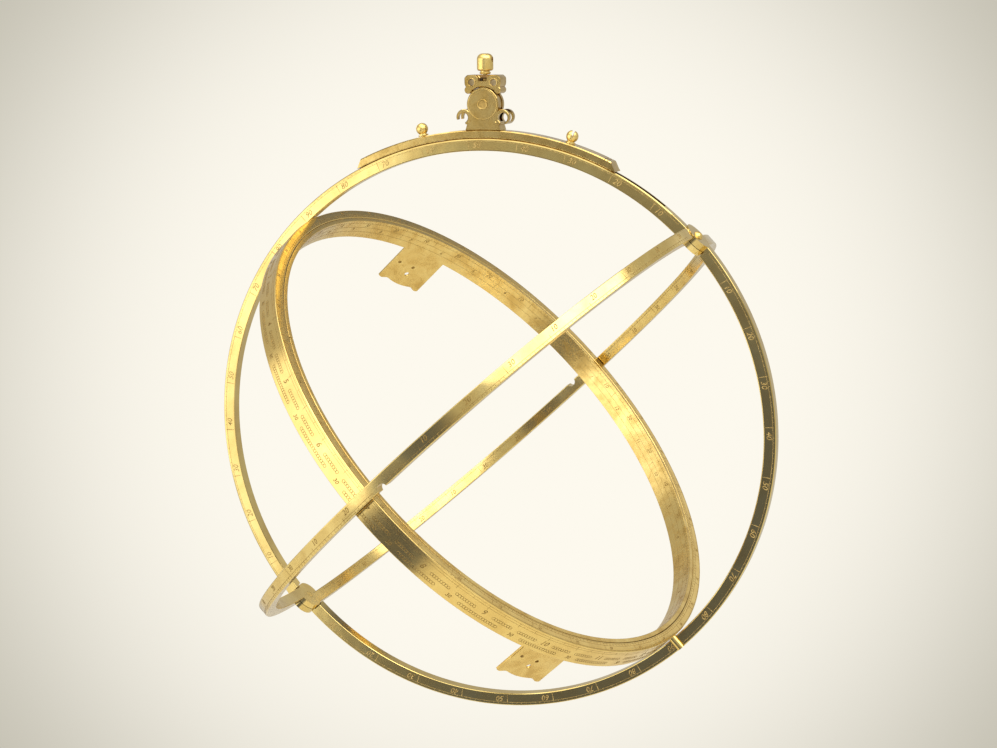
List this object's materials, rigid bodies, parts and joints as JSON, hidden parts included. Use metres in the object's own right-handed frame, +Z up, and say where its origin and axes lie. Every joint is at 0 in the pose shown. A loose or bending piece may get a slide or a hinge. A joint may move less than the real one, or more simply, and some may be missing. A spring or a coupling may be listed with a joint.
{
  "type": "ring dial",
  "caption": "Hanging ring dial: a meridian ring on a sliding suspension, a folding equator ring, and a turning hour ring with a sight ring and pinhole vanes, for telling the time by the sun.",
  "frame": {"origin": "middle of the cord hole in the knob that the dial hangs by", "axes": "+Z up, along the swivel; +X to the right and -Y to the viewer, with the meridian ring in the XZ plane"},
  "size_m": [0.2, 0.2, 0.2281],
  "materials": {
    "ring_brass": "gilt, fine turned",
    "fitting_brass": "gilt, filed and burnished",
    "turned_brass": "gilt, turned bright",
    "pin_brass": "worn bare brass"
  },
  "bodies": {
    "knob": {"swivel_knob": "turned_brass", "swivel_collar": "pin_brass"},
    "shackle_body": {"shackle": "fitting_brass"},
    "hanger": {"suspension_bracket": "fitting_brass", "tilt_pin": "pin_brass", "slider_shoe": "fitting_brass", "left_slide_key": "pin_brass", "right_slide_key": "pin_brass"},
    "left_clamp": {"left_clamp_screw": "turned_brass"},
    "right_clamp": {"right_clamp_screw": "turned_brass"},
    "meridian": {"meridian_ring": "ring_brass", "upper_hinge_pin": "turned_brass", "lower_hinge_pin": "turned_brass", "north_pole_pin": "pin_brass", "south_pole_pin": "pin_brass"},
    "equator": {"equator_ring": "ring_brass"},
    "hours": {"hour_ring": "ring_brass"},
    "sights": {"sight_ring": "ring_brass", "upper_sight_vane": "fitting_brass", "lower_sight_vane": "fitting_brass", "upper_vane_rivets": "pin_brass", "lower_vane_rivets": "pin_brass"}
  },
  "joints": [
    {"name": "swivel", "type": "hinge", "parent": "knob", "child": "shackle_body", "pos_m": [0, 0, 0], "axis": [0, 0, 1], "continuous": true},
    {"name": "tilt", "type": "hinge", "parent": "shackle_body", "child": "hanger", "pos_m": [0, 0, -0.0149], "axis": [0, 1, 0], "range_deg": [-40, 40]},
    {"name": "left_clamp_turn", "type": "hinge", "parent": "hanger", "child": "left_clamp", "pos_m": [-0.02205, -0.0011, -0.0258], "axis": [-0.2147, 0, 0.9767], "range_deg": [0, 360]},
    {"name": "right_clamp_turn", "type": "hinge", "parent": "hanger", "child": "right_clamp", "pos_m": [0.03003, -0.0011, -0.02789], "axis": [0.2924, 0, 0.9563], "range_deg": [0, 360]},
    {"name": "latitude", "type": "hinge", "parent": "hanger", "child": "meridian", "pos_m": [0, 0.00112, -0.1261], "axis": [0, 1, 0], "range_deg": [-16, 43]},
    {"name": "equator_fold", "type": "hinge", "parent": "meridian", "child": "equator", "pos_m": [0, 0.00112, -0.1261], "axis": [0.7314, 0, 0.682], "range_deg": [0, 90]},
    {"name": "hour_turn", "type": "hinge", "parent": "meridian", "child": "hours", "pos_m": [0, 0.00112, -0.1261], "axis": [-0.682, 0, 0.7314], "continuous": true},
    {"name": "sight_turn", "type": "hinge", "parent": "hours", "child": "sights", "pos_m": [0, 0.00112, -0.1261], "axis": [0.7264, -0.1167, 0.6773], "continuous": true}
  ]
}
